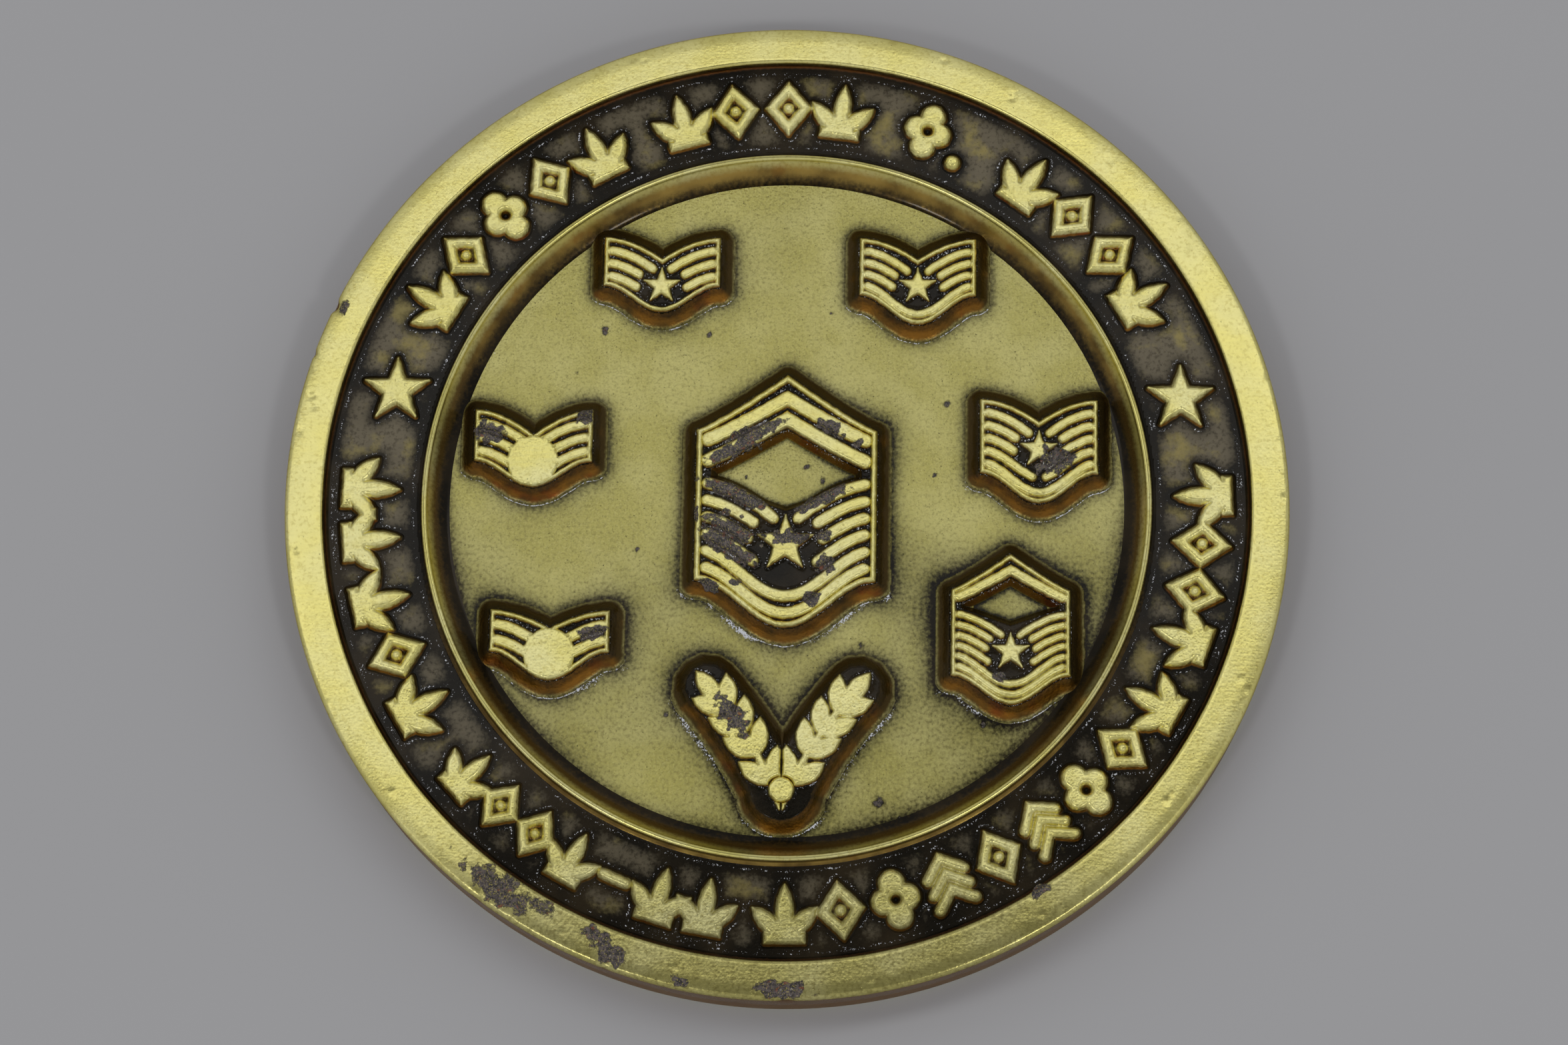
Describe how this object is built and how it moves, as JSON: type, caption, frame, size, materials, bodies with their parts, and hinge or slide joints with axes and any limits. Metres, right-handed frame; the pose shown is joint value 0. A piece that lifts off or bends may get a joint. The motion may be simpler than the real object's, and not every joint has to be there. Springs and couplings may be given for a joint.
{
  "type": "challenge coin",
  "caption": "Round antiqued brass challenge coin with a raised rim, an ornament band with two stars, striped plates and a laurel spray on the front, a wreath and star on the back.",
  "frame": {"origin": "centre of the reverse rim's plane, which is the face the coin lies on", "axes": "+Z out of the obverse, +Y to the top of the obverse design, +X to its right"},
  "size_m": [0.0444, 0.0444, 0.0032],
  "materials": {
    "core_brass": "plain struck brass",
    "rim_brass": "fine brushed satin, antiqued and lacquered, small nicks",
    "ring_brass": "satin crest, amber antiqued cove, lacquered",
    "band_floor": "dark antiquing wash rubbed through in patches, lacquered",
    "field_brass": "fine granular sandblast, darker round the pedestals",
    "pedestal_brass": "amber to dark brown antiqued slopes, glossy lacquer",
    "relief_brass": "bright rubbed tops, dark feet, spots of grey tarnish"
  },
  "bodies": {
    "root": {"planchet": "core_brass", "rim": "rim_brass", "ornament_band": "band_floor", "border_ring": "ring_brass", "obverse_field": "field_brass", "band_star_left": "relief_brass", "band_star_right": "relief_brass", "ornament_upper_1": "relief_brass", "ornament_upper_2": "relief_brass", "ornament_upper_3": "relief_brass", "ornament_upper_4": "relief_brass", "ornament_lower_1": "relief_brass", "ornament_lower_2": "relief_brass", "ornament_lower_3": "relief_brass", "ornament_lower_4": "relief_brass", "ornament_lower_5": "relief_brass", "ornament_lower_6": "relief_brass", "ornament_dash": "relief_brass", "centre_pedestal": "pedestal_brass", "centre_border": "relief_brass", "centre_chevrons": "relief_brass", "centre_stripes": "relief_brass", "centre_star": "relief_brass", "upper_left_pedestal": "pedestal_brass", "upper_left_stripes": "relief_brass", "upper_left_star": "relief_brass", "upper_right_pedestal": "pedestal_brass", "upper_right_stripes": "relief_brass", "upper_right_star": "relief_brass", "middle_right_pedestal": "pedestal_brass", "middle_right_stripes": "relief_brass", "middle_right_star": "relief_brass", "lower_right_pedestal": "pedestal_brass", "lower_right_stripes": "relief_brass", "lower_right_star": "relief_brass", "lower_left_pedestal": "pedestal_brass", "lower_left_stripes": "relief_brass", "lower_left_disc": "relief_brass", "middle_left_pedestal": "pedestal_brass", "middle_left_stripes": "relief_brass", "middle_left_disc": "relief_brass", "spray_pedestal": "pedestal_brass", "spray_left_branch": "relief_brass", "spray_right_branch": "relief_brass", "spray_knot": "relief_brass", "reverse_field": "field_brass", "reverse_beads": "relief_brass", "reverse_wreath": "relief_brass", "reverse_star": "relief_brass", "reverse_knot": "relief_brass"}
  },
  "joints": []
}
